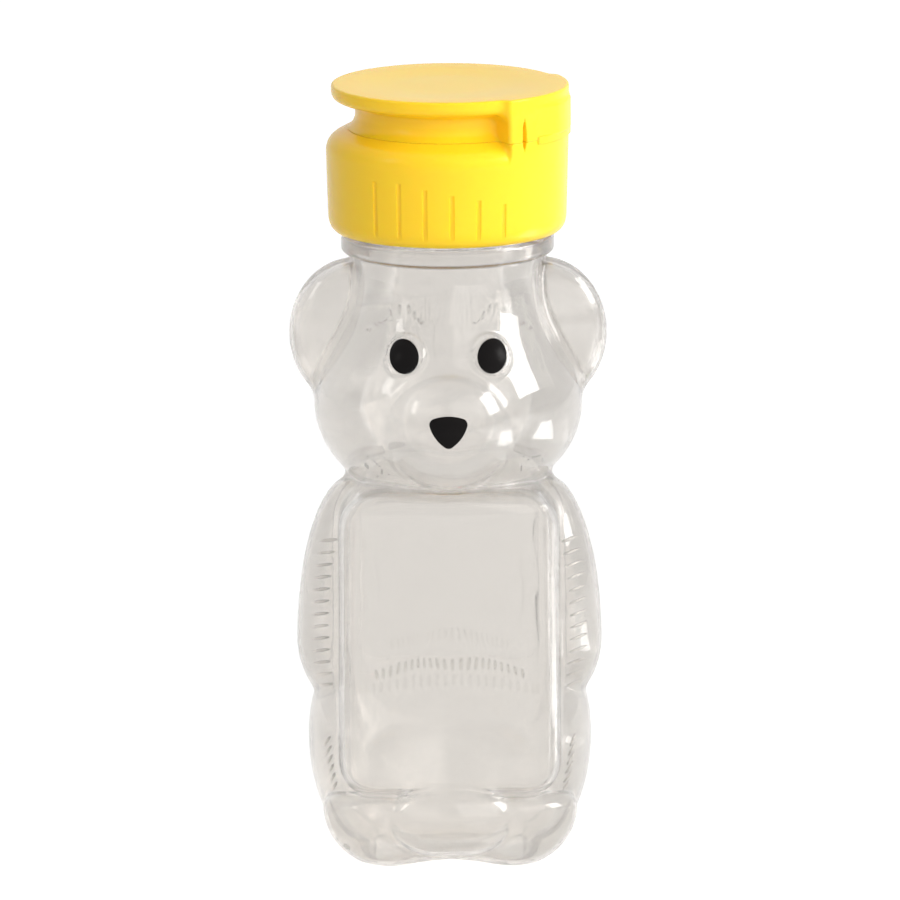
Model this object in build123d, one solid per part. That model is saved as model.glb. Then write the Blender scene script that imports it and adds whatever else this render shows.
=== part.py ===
from build123d import *
import os
from math import atan2, degrees

# Honey bear bottle: a clear blow-moulded bottle in the shape of a sitting bear, with a
# screw-on flip-top closure. Lengths are millimetres, +Z is up, the bear faces -Y, and the
# origin is on the neck axis at the surface that the bottle stands on.

# Bottle wall, and how far a rounded form dips below the surface that the bottle stands on
wall = 0.7
floor_sink = 0.5

# Torso: a rounded box with gently bowed label faces at the front and back
torso_low_z = 13.6
torso_height = 54.6
torso_half_width = 19.5
torso_half_depth = 20.4
torso_face_bow = 1.6
torso_side_bow = 0.3
torso_corner = 4.6
torso_edge_round = 2.0
torso_reach = 28.0
torso_shoulder_round = 10.5
torso_hip_round = 9.0

# Arms: long egg forms on the sides of the torso, placed from its lower edge
arm_x = 17.0
arm_forward = 2.5
arm_lift = 25.4
arm_radius = 9.6
arm_half_depth = 11.0
arm_rise = 27.0
arm_drop = 12.4

# Legs, feet, seat and the round belly between the feet
leg_x = 14.5
leg_z = 21.5
leg_radius = 10.2
leg_half_depth = 17.5
leg_rise = 18.0
foot_x = 12.3
foot_forward = 12.4
foot_z = 7.2
foot_half_width = 9.6
foot_half_depth = 8.9
seat_z = 16.0
seat_radius = 17.2
seat_half_depth = 18.6
seat_rise = 4.0
seat_clearance = 0.4
belly_forward = 13.4
belly_z = 9.6
belly_half_width = 10.3
belly_half_depth = 7.4
belly_half_height = 6.4

# Base: a low block that the bottle rests on, with an arch between the feet
base_half_width = 15.6
base_half_depth = 12.6
base_corner = 5.0
base_height = 6.5
base_round = 1.2
arch_half_width = 7.0
arch_height = 1.3
arch_front = 12.0
arch_end = 3.0

# Head: a round form, widest at the cheeks, narrowing to the neck
head_radius = 23.4
head_lift = 12.0
head_rise = 23.4
head_drop = 18.0
head_side_shares = [(0.29, 0.80), (0.48, 0.50), (0.66, 0.22), (0.84, 0.05)]

# Ears: flat round lobes on the sides of the head, placed from the cheeks
ear_x = 16.2
ear_back = 0.6
ear_lift = 12.4
ear_half_width = 11.5
ear_half_depth = 5.0
ear_half_height = 13.2

# Muzzle, eye bosses and the printed eyes and nose, placed from the cheeks
muzzle_sink = 9.4
muzzle_lower = 0.9
muzzle_half_width = 10.8
muzzle_half_depth = 12.6
muzzle_half_height = 10.8
eye_lift = 11.5
eye_turn = 22.8
boss_half_width = 4.4
boss_half_height = 4.8
boss_half_depth = 3.4
boss_sink = 2.2
eye_half_width = 2.55
eye_half_height = 2.85
nose_lift = 2.2
nose_half_span = 3.5
nose_brow = 0.9
nose_side_bow = 0.5
nose_drop = 4.95
nose_corner = 1.1
ink_thickness = 0.25

# Neck and its finish, stacked on the head
neck_radius = 16.3
neck_wall = 1.4
neck_height = 3.5
neck_ring_height = 3.2
neck_ring_reach = 1.2
neck_ring_round = 0.8
finish_bore_radius = 15.5
finish_wall = 1.9
finish_height = 14.3

# Screw thread, shared by the neck and the closure
thread_pitch = 4.233
thread_turns = 1.25
thread_height = 1.25
thread_base_width = 2.0
thread_crest_width = 0.8
thread_start_drop = 8.4
thread_sink = 0.3
thread_clearance = 0.35

# Liner that seals the closure on the neck
liner_thickness = 1.0
liner_gap = 0.05
liner_edge_gap = 0.5
liner_bore_gap = 0.2

# Closure base: skirt, shoulder, deck, spout and the raised land that the lid fits over
skirt_clearance = 0.4
skirt_wall = 1.7
skirt_draft = 0.5
skirt_low_round = 1.4
deck_thickness = 1.8
seat_step = 1.4
shoulder_drop = 1.9
shoulder_round = 1.2
land_gap = 0.5
land_thickness = 1.1
land_rise = 1.7
spout_bore_radius = 3.2
spout_wall = 1.3
spout_foot = 0.4
spout_height = 4.9

# Grip grooves of the skirt, in two groups, a quarter turn either side of the hinge
groove_count = 8
groove_pitch = 13.0
groove_width = 0.5
groove_depth = 0.3
groove_top_drop = 4.6
groove_step = 0.93
groove_step_count = 4

# Lid: rim disc, dished top, waist and the plug that closes the spout
part_gap = 0.12
lid_height = 7.68
lid_roof = 1.3
waist_radius = 16.0
waist_thickness = 1.2
waist_cove = 0.8
waist_ledge = 0.7
rim_reach = 4.2
rim_thickness = 2.0
rim_round = 0.8
dish_inset = 1.8
dish_edge_width = 1.4
dish_depth = 0.5
plug_reach = 2.4
plug_clearance = 0.2
plug_taper = 0.3

# Hinge: block, pad, strap and slits, at the bearing of the hinge seen from above
hinge_bearing = -17.3
block_half_angle = 41.7
block_wall = 1.2
block_top_drop = 0.25
pocket_half_angle = 37.5
pad_half_angle = 24.7
pad_proud = 0.75
pad_rise = 0.65
pad_top_drop = 1.69
pad_round = 0.3
strap_thickness = 0.35
strap_drop = 0.75
strap_gap = 0.05
slit_angle = 33.0
slit_drop = 1.7
slit_rise = 4.2
slit_width = 0.7
slit_depth = 1.0

# Overrun of every cutting form past the face that it opens, and halvings of a search
overrun = 1.0
search_steps = 40

# Heights up the bottle
torso_high_z = torso_low_z + torso_height
arm_z = torso_low_z + arm_lift
head_wide_z = torso_high_z + head_lift
ear_z = head_wide_z + ear_lift
eye_z = head_wide_z + eye_lift
muzzle_z = head_wide_z - muzzle_lower
neck_base_z = head_wide_z + head_rise
neck_ring_low_z = neck_base_z + neck_height
neck_ring_high_z = neck_ring_low_z + neck_ring_height
finish_top_z = neck_ring_high_z + finish_height
thread_start_z = finish_top_z - thread_start_drop

# Heights up the closure
skirt_low_z = neck_ring_high_z + skirt_clearance
deck_under_z = finish_top_z + liner_thickness + 2 * liner_gap
deck_top_z = deck_under_z + deck_thickness
seat_face_z = deck_top_z + seat_step
shoulder_edge_z = seat_face_z - shoulder_drop
groove_top_z = shoulder_edge_z - groove_top_drop
spout_top_z = deck_top_z + spout_height
lid_low_z = seat_face_z + part_gap
lid_top_z = lid_low_z + lid_height
roof_under_z = lid_top_z - dish_depth - lid_roof
plug_tip_z = spout_top_z - plug_reach
hinge_axis_z = seat_face_z + part_gap / 2
pad_low_z = hinge_axis_z + pad_rise
pad_high_z = lid_top_z - pad_top_drop

# Radii of the neck and the closure, from the inside out
neck_bore_radius = neck_radius - neck_wall
finish_radius = finish_bore_radius + finish_wall
neck_ring_radius = finish_radius + neck_ring_reach
thread_crest_radius = finish_radius + thread_height
closure_thread_crest_radius = finish_radius + thread_clearance
skirt_bore_radius = thread_crest_radius + thread_clearance
skirt_low_radius = skirt_bore_radius + skirt_wall
skirt_radius = skirt_low_radius + skirt_draft
liner_outer_radius = skirt_bore_radius - liner_edge_gap
liner_bore_radius = finish_bore_radius + liner_bore_gap
waist_bore_radius = waist_radius - waist_thickness
seat_face_radius = waist_radius + waist_ledge
land_radius = waist_bore_radius - land_gap
rim_radius = waist_radius + rim_reach
dish_radius = waist_radius - dish_inset
spout_radius = spout_bore_radius + spout_wall
spout_foot_radius = spout_radius + spout_foot
plug_root_radius = spout_bore_radius - plug_clearance
plug_tip_radius = plug_root_radius - plug_taper


def ellipsoid(half_x, half_y, half_z):
    """An ellipsoid about the origin."""
    return scale(Sphere(1), by=(half_x, half_y, half_z))


def egg(radius, half_depth, rise, drop):
    """A round form with a tall upper half and a short lower half."""
    upper = EllipticalCenterArc((0, 0), radius, rise, start_angle=0, arc_size=90)
    lower = EllipticalCenterArc((0, 0), radius, drop, start_angle=-90, arc_size=90)
    spine = Line((0, rise), (0, -drop))
    half = Plane.XZ * make_face(Curve() + [upper, spine, lower])
    return scale(revolve(half, Axis.Z), by=(1, half_depth / radius, 1))


def both_sides(shape):
    """The shape and its mirror image across the plane of the face."""
    return [shape, mirror(shape, about=Plane.YZ)]


def cheek_line(radius, top_radius):
    """The side of the head, from its widest part up to the neck."""
    side = [(radius, head_wide_z)]
    for height_share, width_share in head_side_shares:
        side.append((top_radius + (radius - top_radius) * width_share,
                     head_wide_z + head_rise * height_share))
    side.append((top_radius, neck_base_z))
    return Spline(side, tangents=[(0, 1), (0, 1)])


def head_and_neck(inset):
    """Head, neck, ring and finish as one turned form, drawn in by the wall."""
    radius = head_radius - inset
    top_radius = neck_radius if inset == 0 else neck_bore_radius
    low = head_wide_z - head_drop + inset
    jaw = EllipticalCenterArc((0, head_wide_z), radius, head_wide_z - low,
                              start_angle=-90, arc_size=90)
    cheek = cheek_line(radius, top_radius)
    if inset == 0:
        upper = Polyline((top_radius, neck_base_z),
                         (top_radius, neck_ring_low_z),
                         (neck_ring_radius - neck_ring_round, neck_ring_low_z),
                         (neck_ring_radius, neck_ring_low_z + neck_ring_round),
                         (neck_ring_radius, neck_ring_high_z),
                         (finish_radius, neck_ring_high_z),
                         (finish_radius, finish_top_z),
                         (0, finish_top_z),
                         (0, low))
    else:
        upper = Polyline((top_radius, neck_base_z),
                         (top_radius, neck_ring_low_z),
                         (finish_bore_radius, neck_ring_high_z),
                         (finish_bore_radius, finish_top_z + overrun),
                         (0, finish_top_z + overrun),
                         (0, low))
    return revolve(Plane.XZ * make_face(Curve() + [jaw, cheek, upper]), Axis.Z)


def torso(inset):
    """The rounded box that carries the label faces."""
    half_x = torso_half_width - inset
    half_y = torso_half_depth - inset
    front = ThreePointArc((-half_x, -half_y), (0, -half_y - torso_face_bow), (half_x, -half_y))
    right = ThreePointArc((half_x, -half_y), (half_x + torso_side_bow, 0), (half_x, half_y))
    back = ThreePointArc((half_x, half_y), (0, half_y + torso_face_bow), (-half_x, half_y))
    left = ThreePointArc((-half_x, half_y), (-half_x - torso_side_bow, 0), (-half_x, -half_y))
    section = make_face(Curve() + [front, right, back, left])
    section = fillet(section.vertices(), torso_corner - inset)
    low = torso_low_z + inset
    high = torso_high_z - inset
    box = extrude(Plane.XY.offset(low) * section, high - low)
    box = fillet(box.edges().group_by(Axis.Z)[0], torso_edge_round - inset)
    drum = Pos(0, 0, (low + high) / 2) * Cylinder(torso_reach - inset, high - low)
    drum = fillet(drum.edges().group_by(Axis.Z)[-1], torso_shoulder_round - inset)
    drum = fillet(drum.edges().group_by(Axis.Z)[0], torso_hip_round - inset)
    return box & drum


def limbs(inset):
    """Arms, legs, feet, seat and belly."""
    arm = Pos(arm_x, -arm_forward, arm_z) * egg(arm_radius - inset, arm_half_depth - inset,
                                                arm_rise - inset, arm_drop - inset)
    leg = Pos(leg_x, 0, leg_z) * egg(leg_radius - inset, leg_half_depth - inset,
                                     leg_rise - inset, leg_z + floor_sink - inset)
    foot = Pos(foot_x, -foot_forward, foot_z) * ellipsoid(foot_half_width - inset,
                                                          foot_half_depth - inset,
                                                          foot_z + floor_sink - inset)
    seat = Pos(0, 0, seat_z) * egg(seat_radius - inset, seat_half_depth - inset,
                                   seat_rise, seat_z - seat_clearance - inset)
    belly = Pos(0, -belly_forward, belly_z) * ellipsoid(belly_half_width - inset,
                                                        belly_half_depth - inset,
                                                        belly_half_height - inset)
    return both_sides(arm) + both_sides(leg) + both_sides(foot) + [seat, belly]


def eye_place():
    """The point of the head under the right eye, square to the head's surface."""
    side = cheek_line(head_radius, neck_radius)
    low, high = 0, 1
    for _ in range(search_steps):
        middle = (low + high) / 2
        if side.position_at(middle).Y < eye_z:
            low = middle
        else:
            high = middle
    reach = side.position_at(low).X
    along = side.tangent_at(low)
    tilt = degrees(atan2(-along.X, along.Y))
    return Rot(0, 0, eye_turn) * Pos(0, -reach, eye_z) * Rot(-tilt, 0, 0)


def muzzle_place():
    """The middle of the muzzle, sunk into the front of the head."""
    return Pos(0, muzzle_sink - head_radius, muzzle_z)


def face_forms(inset):
    """Ears, muzzle and the bosses round the eyes."""
    ear = Pos(ear_x, ear_back, ear_z) * ellipsoid(ear_half_width - inset, ear_half_depth - inset,
                                                  ear_half_height - inset)
    muzzle = muzzle_place() * ellipsoid(muzzle_half_width - inset, muzzle_half_depth - inset,
                                        muzzle_half_height - inset)
    boss = eye_place() * Pos(0, boss_sink, 0) * ellipsoid(boss_half_width - inset,
                                                          boss_half_depth - inset,
                                                          boss_half_height - inset)
    return both_sides(ear) + both_sides(boss) + [muzzle]


def base_block(inset):
    """The low block under the seat, with its lower edge rounded."""
    block = extrude(Plane.XY.offset(inset)
                    * RectangleRounded(2 * (base_half_width - inset), 2 * (base_half_depth - inset),
                                       base_corner - inset), base_height - 2 * inset)
    return fillet(block.edges().group_by(Axis.Z)[0], base_round - inset / 2)


def arch(inset):
    """The hollow between the feet, deepest at the front and gone before the middle."""
    radius = (arch_half_width ** 2 + arch_height ** 2) / (2 * arch_height)
    slope = degrees(atan2(arch_height, arch_front - arch_end))
    length = 2 * arch_front
    roof = Rot(90, 0, 0) * Cylinder(radius + inset, length, align=(Align.CENTER, Align.CENTER, Align.MIN))
    return Pos(0, -arch_end, 0) * Rot(-slope, 0, 0) * Pos(0, 0, -radius) * roof


def bear(inset):
    """The whole bear, drawn in by the inset, so that two of them make a wall."""
    form = head_and_neck(inset)
    for piece in [torso(inset), base_block(inset)] + limbs(inset) + face_forms(inset):
        form = form + piece
    reach = 4 * head_radius
    below = Pos(0, 0, inset) * Box(reach, reach, reach, align=(Align.CENTER, Align.CENTER, Align.MAX))
    form = form - below
    return form - arch(inset)


def thread_ridge(root_radius, crest_radius, start_z, bearing):
    """One helical ridge, from just inside its root to its crest."""
    out = 1 if crest_radius > root_radius else -1
    root = root_radius - out * thread_sink
    helix = Helix(thread_pitch, thread_pitch * thread_turns, root_radius)
    section = Plane(origin=(root_radius, 0, 0), x_dir=(1, 0, 0), z_dir=(0, 1, 0)) * make_face(
        Polyline((root - root_radius, -thread_base_width / 2),
                 (crest_radius - root_radius, -thread_crest_width / 2),
                 (crest_radius - root_radius, thread_crest_width / 2),
                 (root - root_radius, thread_base_width / 2),
                 close=True))
    ridge = sweep(section, path=helix, is_frenet=True)
    return Pos(0, 0, start_z) * Rot(0, 0, bearing) * ridge


def bottle_shell():
    """The clear bottle: outer bear less inner bear, with the neck thread."""
    shell = bear(0) - bear(wall)
    return shell + thread_ridge(finish_radius, thread_crest_radius, thread_start_z, 0)


def printed_oval():
    """The ink of one eye, a thin skin on the front of its boss."""
    boss = ellipsoid(boss_half_width, boss_half_depth, boss_half_height)
    skin = ellipsoid(boss_half_width + ink_thickness, boss_half_depth + ink_thickness,
                     boss_half_height + ink_thickness) - boss
    outline = extrude(Plane.XZ.offset(-boss_sink)
                      * Ellipse(eye_half_width, eye_half_height), 2 * boss_half_depth)
    place = eye_place()
    return (place * Pos(0, boss_sink, 0) * skin) & (Pos(place.position) * outline)


def nose():
    """The ink of the nose, a rounded triangle on the front of the muzzle."""
    muzzle = ellipsoid(muzzle_half_width, muzzle_half_depth, muzzle_half_height)
    skin = ellipsoid(muzzle_half_width + ink_thickness, muzzle_half_depth + ink_thickness,
                     muzzle_half_height + ink_thickness) - muzzle
    bulge_x = nose_half_span / 2 + nose_side_bow
    bulge_y = -nose_drop / 2 - nose_side_bow
    brow = ThreePointArc((-nose_half_span, 0), (0, nose_brow), (nose_half_span, 0))
    right = ThreePointArc((nose_half_span, 0), (bulge_x, bulge_y), (0, -nose_drop))
    left = ThreePointArc((0, -nose_drop), (-bulge_x, bulge_y), (-nose_half_span, 0))
    triangle = make_face(Curve() + [brow, right, left])
    triangle = fillet(triangle.vertices(), nose_corner)
    outline = extrude(Plane.XZ * Pos(0, nose_lift) * triangle, 2 * muzzle_half_depth)
    return muzzle_place() * (skin & outline)


def turned(outline, rounds=()):
    """A turned form from its half outline, with some of its corners rounded."""
    face = make_face(Polyline(*outline, close=True))
    for corner, radius in rounds:
        face = fillet(face.vertices().sort_by_distance(corner)[0], radius)
    return revolve(Plane.XZ * face, Axis.Z)


def hinge_sector(inner_radius, outer_radius, low_z, high_z, half_angle, corner=0):
    """A block of a ring, centred on the hinge."""
    width = outer_radius - inner_radius
    height = high_z - low_z
    section = RectangleRounded(width, height, corner) if corner else Rectangle(width, height)
    middle = Pos((inner_radius + outer_radius) / 2, (low_z + high_z) / 2)
    block = revolve(Plane.XZ * middle * section, Axis.Z, revolution_arc=2 * half_angle)
    return Rot(0, 0, hinge_bearing - half_angle) * block


def hinge_slits():
    """The two slits beside the pad, pointed at both ends."""
    low_z = seat_face_z - slit_drop
    high_z = seat_face_z + slit_rise
    face = Plane(origin=(skirt_radius - slit_depth, 0, (low_z + high_z) / 2),
                 x_dir=(0, 1, 0), z_dir=(1, 0, 0))
    slit = extrude(face * Ellipse(slit_width / 2, (high_z - low_z) / 2), slit_depth + overrun)
    return [Rot(0, 0, hinge_bearing + side * slit_angle) * slit for side in (-1, 1)]


def grip_grooves():
    """Upright grooves whose tops step down towards the hinge, alike on both sides."""
    grooves = []
    rise = shoulder_edge_z - skirt_low_z
    for index in range(groove_count):
        top = groove_top_z - groove_step * max(0, groove_step_count - index)
        top_radius = skirt_low_radius + (skirt_radius - skirt_low_radius) * (top - skirt_low_z) / rise
        side = make_face(Polyline((skirt_low_radius - groove_depth, skirt_low_z),
                                  (skirt_radius + overrun, skirt_low_z),
                                  (skirt_radius + overrun, top),
                                  (top_radius - groove_depth, top),
                                  close=True))
        groove = extrude(Plane.XZ * side, groove_width / 2, both=True)
        lean = 90 - groove_pitch * (groove_count - 1) / 2 + index * groove_pitch
        for turn in (-lean, lean):
            grooves.append(Rot(0, 0, hinge_bearing + turn) * groove)
    return grooves


def closure_base():
    """The screw closure: skirt, shoulder, deck, spout, land and thread."""
    form = turned([(skirt_bore_radius, skirt_low_z),
                   (skirt_low_radius, skirt_low_z),
                   (skirt_radius, shoulder_edge_z),
                   (seat_face_radius, seat_face_z),
                   (land_radius, seat_face_z),
                   (land_radius, seat_face_z + land_rise),
                   (land_radius - land_thickness, seat_face_z + land_rise),
                   (land_radius - land_thickness, deck_top_z),
                   (spout_foot_radius, deck_top_z),
                   (spout_radius, spout_top_z),
                   (spout_bore_radius, spout_top_z),
                   (spout_bore_radius, deck_under_z),
                   (skirt_bore_radius, deck_under_z)],
                  [((skirt_low_radius, skirt_low_z), skirt_low_round),
                   ((skirt_radius, shoulder_edge_z), shoulder_round)])
    form = form + hinge_sector(waist_radius, skirt_radius, deck_top_z - deck_thickness / 2,
                               seat_face_z, block_half_angle)
    form = form - hinge_slits() - grip_grooves()
    ridge = thread_ridge(skirt_bore_radius, closure_thread_crest_radius,
                         thread_start_z - thread_pitch / 2, 0)
    return form + ridge


def flip_lid():
    """The lid: rim disc, waist, plug, hollow hinge block and pad."""
    dish_z = lid_top_z - dish_depth
    rim_low_z = lid_top_z - rim_thickness
    form = turned([(0, dish_z),
                   (dish_radius, dish_z),
                   (dish_radius + dish_edge_width, lid_top_z),
                   (rim_radius, lid_top_z),
                   (rim_radius, rim_low_z),
                   (waist_radius, rim_low_z),
                   (waist_radius, lid_low_z),
                   (waist_bore_radius, lid_low_z),
                   (waist_bore_radius, roof_under_z),
                   (plug_root_radius, roof_under_z),
                   (plug_tip_radius, plug_tip_z),
                   (0, plug_tip_z)],
                  [((rim_radius, lid_top_z), rim_round),
                   ((rim_radius, rim_low_z), rim_round),
                   ((waist_radius, rim_low_z), waist_cove)])
    middle = (waist_bore_radius + waist_radius) / 2
    block = hinge_sector(middle, skirt_radius, lid_low_z, lid_top_z - block_top_drop,
                         block_half_angle)
    pocket = hinge_sector(waist_radius, skirt_radius - block_wall, lid_low_z - overrun,
                          roof_under_z, pocket_half_angle)
    pad = hinge_sector(skirt_radius - pad_proud, skirt_radius + pad_proud, pad_low_z,
                       pad_high_z, pad_half_angle, pad_round)
    return form + (block - pocket) + pad - hinge_slits()


def hinge_strap():
    """The thin strap across the parting line, from the skirt to the foot of the pad."""
    inner = skirt_radius + strap_gap
    return hinge_sector(inner, inner + strap_thickness, hinge_axis_z - strap_drop,
                        pad_low_z - strap_gap, pad_half_angle)


def sealing_liner():
    """The foam ring between the neck's rim and the deck."""
    low_z = finish_top_z + liner_gap
    high_z = low_z + liner_thickness
    return turned([(liner_bore_radius, low_z), (liner_outer_radius, low_z),
                   (liner_outer_radius, high_z), (liner_bore_radius, high_z)])


def write_parts():
    """One STEP file for each piece of the object."""
    eye_right = printed_oval()
    pieces = {
        "bottle_shell": bottle_shell(),
        "eye_right": eye_right,
        "eye_left": mirror(eye_right, about=Plane.YZ),
        "nose": nose(),
        "closure_base": closure_base(),
        "flip_lid": flip_lid(),
        "hinge_strap": hinge_strap(),
        "sealing_liner": sealing_liner(),
    }
    os.makedirs("parts", exist_ok=True)
    for name, shape in pieces.items():
        export_step(shape, f"parts/{name}.step")


write_parts()
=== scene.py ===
import math

import bpy
import numpy as np
from bpy.props import FloatProperty, FloatVectorProperty, IntProperty, PointerProperty
from mathutils import Matrix, Vector


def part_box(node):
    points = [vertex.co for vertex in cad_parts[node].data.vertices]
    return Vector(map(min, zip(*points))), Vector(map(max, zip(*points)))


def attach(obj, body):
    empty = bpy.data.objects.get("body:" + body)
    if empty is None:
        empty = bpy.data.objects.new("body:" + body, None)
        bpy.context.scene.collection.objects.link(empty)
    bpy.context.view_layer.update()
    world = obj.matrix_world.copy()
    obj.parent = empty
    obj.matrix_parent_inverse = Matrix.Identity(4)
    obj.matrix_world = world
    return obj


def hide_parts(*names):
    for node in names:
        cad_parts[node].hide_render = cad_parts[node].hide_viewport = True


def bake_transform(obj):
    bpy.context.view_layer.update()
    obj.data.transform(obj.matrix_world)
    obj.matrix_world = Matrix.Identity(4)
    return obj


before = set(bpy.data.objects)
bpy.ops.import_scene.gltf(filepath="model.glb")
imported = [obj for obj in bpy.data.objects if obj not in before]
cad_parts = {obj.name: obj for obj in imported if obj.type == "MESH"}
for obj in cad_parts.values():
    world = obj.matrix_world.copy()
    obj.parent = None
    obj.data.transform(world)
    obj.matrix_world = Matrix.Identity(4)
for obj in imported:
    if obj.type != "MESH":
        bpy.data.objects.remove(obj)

bl_info = {
    "name": "Honey Bear Bottle",
    "version": (1, 0, 0),
    "blender": (4, 5, 0),
    "location": "View3D > Sidebar > Honey Bear",
    "description": "Builds a clear bear-shaped honey bottle with its yellow flip-top closure",
    "category": "Add Mesh",
}

TINY = 1e-9


def mm(value):
    """Millimetres as metres."""
    return value / 1000


def linear(code):
    """An sRGB hex colour as linear red, green, blue and an alpha of one."""
    channels = [int(code[i:i + 2], 16) / 255 for i in (1, 3, 5)]
    return tuple(c / 12.92 if c <= 0.04045 else ((c + 0.055) / 1.055) ** 2.4 for c in channels) + (1.0,)


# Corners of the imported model, from which the places below are worked out
BODY_LOW, BODY_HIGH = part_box("bottle_shell")
BASE_LOW, BASE_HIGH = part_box("closure_base")
LID_LOW, LID_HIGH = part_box("flip_lid")

# Eggs that the bear is blown in: the centre, then the half width, half depth and rise, then the
# drop below the centre where it isn't the rise. Those of a pair are given for the right side.
ARM = (mm(17.0), mm(-2.5), mm(39.0)), (mm(9.6), mm(11.0), mm(28.6)), mm(12.4)
LEG = (mm(14.5), 0, mm(21.5)), (mm(10.2), mm(17.5), mm(18.0)), mm(19.5)
FOOT = (mm(10.4), mm(-12.4), mm(11.0)), (mm(11.8), mm(8.9), mm(4.5)), mm(11.1)
WEB = (0, mm(-11.6), mm(7.0)), (mm(12.0), mm(8.6), mm(6.5)), mm(7.5)
SEAT = (0, 0, mm(16.0)), (mm(17.2), mm(18.6), mm(4.0)), mm(16.2)
BELLY = (0, mm(-18.2), mm(9.8)), (mm(12.2), mm(6.2), mm(7.0))
EAR_CENTRE = (mm(16.2), mm(0.6), mm(92.6))
MUZZLE_CENTRE = (0, mm(-14.0), mm(79.3))

# Measures that pieces share, so that they fit one another
THREAD_PITCH = mm(4.233)
THREAD_TURNS = 1.25
HINGE_BEARING = math.radians(-17.3)
PAD_HALF_ANGLE = math.radians(24.7)
SKIRT_FOOT_Z, SKIRT_FOOT_RADIUS = mm(110.7), mm(20.7)
SHOULDER_Z, SHOULDER_RADIUS = mm(127.0), mm(21.2)


class BottleSettings(bpy.types.PropertyGroup):
    """Sizes of the clear bottle."""
    wall: FloatProperty(name="Wall", description="Thickness of the blown wall",
                        default=mm(0.7), unit="LENGTH")
    mesh_step: FloatProperty(name="Mesh step", description="Spacing of the points that carry the form",
                             default=mm(0.4), unit="LENGTH")
    head_radius: FloatProperty(name="Head radius", description="Radius of the head at the cheeks",
                               default=mm(23.4), unit="LENGTH")
    cheek_height: FloatProperty(name="Cheek height", description="Height of the widest part of the head",
                                default=mm(80.2), unit="LENGTH")
    chin_drop: FloatProperty(name="Chin drop", description="Depth of the head below the cheeks",
                             default=mm(18.0), unit="LENGTH")
    neck_radius: FloatProperty(name="Neck radius", description="Radius of the neck below its ring",
                               default=mm(16.3), unit="LENGTH")
    ear_half: FloatVectorProperty(name="Ear halves", description="Half width, depth and height of an ear",
                                  default=(mm(11.5), mm(5.0), mm(13.2)), unit="LENGTH")
    muzzle_half: FloatVectorProperty(name="Muzzle halves",
                                     description="Half width, depth and height of the muzzle",
                                     default=(mm(13.0), mm(12.45), mm(12.2)), unit="LENGTH")
    torso_half: FloatVectorProperty(name="Torso halves", description="Half width and depth of the torso",
                                    size=2, default=(mm(19.5), mm(20.4)), unit="LENGTH")
    fur_rise: FloatProperty(name="Fur rise", description="How far a moulded strand of fur stands out",
                            default=mm(0.3), unit="LENGTH")
    fur_width: FloatProperty(name="Fur width", description="Width of a moulded strand of fur",
                             default=mm(0.6), unit="LENGTH")
    tint: FloatVectorProperty(name="Tint", description="Colour of the clear plastic", subtype="COLOR",
                              size=4, default=linear("#e2dfdb"))
    ink: FloatVectorProperty(name="Ink", description="Colour of the printed eyes and nose",
                             subtype="COLOR", size=4, default=linear("#100e0e"))


class ClosureSettings(bpy.types.PropertyGroup):
    """Sizes and colour of the flip-top closure."""
    mesh_step: FloatProperty(name="Mesh step", description="Spacing of the points that carry the form",
                             default=mm(0.26), unit="LENGTH")
    groove_count: IntProperty(name="Groove count", description="Grip grooves on each side of the hinge",
                              default=6, min=2)
    groove_pitch: FloatProperty(name="Groove pitch", description="Angle between grip grooves",
                                default=math.radians(13.0), subtype="ANGLE")
    groove_width: FloatProperty(name="Groove width", description="Width of a grip groove",
                                default=mm(0.9), unit="LENGTH")
    groove_depth: FloatProperty(name="Groove depth", description="Depth of a grip groove",
                                default=mm(0.3), unit="LENGTH")
    thread_pitch: FloatProperty(name="Thread pitch", description="Rise of the thread in one turn",
                                default=THREAD_PITCH, unit="LENGTH")
    colour: FloatVectorProperty(name="Colour", description="Colour of the moulded closure",
                                subtype="COLOR", size=4, default=linear("#ffd024"))
    liner_colour: FloatVectorProperty(name="Liner colour", description="Colour of the foam liner",
                                      subtype="COLOR", size=4, default=linear("#f2f1ec"))


class StageSettings(bpy.types.PropertyGroup):
    """Camera, lamps and floor."""
    pixels_per_metre: FloatProperty(name="Pixels per metre", description="Scale of the photograph",
                                    default=5730.0)
    image_size: FloatProperty(name="Image size", description="Width of the photograph in pixels",
                              default=900.0)
    distance: FloatProperty(name="Camera distance", description="From the bottle to the camera",
                            default=7.0, unit="LENGTH")
    elevation: FloatProperty(name="Camera elevation", description="Angle above the horizon",
                             default=math.radians(10.6), subtype="ANGLE")
    roll: FloatProperty(name="Camera roll", description="Tilt of the picture",
                        default=math.radians(-0.29), subtype="ANGLE")
    aim: FloatVectorProperty(name="Aim", description="The point in the middle of the picture",
                             default=(mm(0.25), 0.0, mm(71.6)), unit="LENGTH")
    ambient: FloatProperty(name="Ambient", description="Strength of the soft light from all round",
                           default=0.43)
    backdrop: FloatVectorProperty(name="Backdrop", description="Colour of the floor and the background",
                                  subtype="COLOR", size=4, default=(1.0, 1.0, 1.0, 1.0))


# Fields. Each takes points as rows of x, y and z and gives the distance to a form, nearly,
# negative inside it. They are joined softly, as a blown or moulded wall flows round a corner:
# the last value of each join or meet is the size of that fillet.

def egg_field(p, centre, halves, drop=None):
    """An egg: its half width, half depth and rise, and how far it drops below its centre."""
    x, y, z = (p[i] - centre[i] for i in range(3))
    height = halves[2] if drop is None else np.where(z > 0, halves[2], drop)
    near = np.sqrt((x / halves[0]) ** 2 + (y / halves[1]) ** 2 + (z / height) ** 2)
    steep = np.sqrt((x / halves[0] ** 2) ** 2 + (y / halves[1] ** 2) ** 2 + (z / height ** 2) ** 2)
    return near * (near - 1) / np.maximum(steep, TINY)


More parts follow.
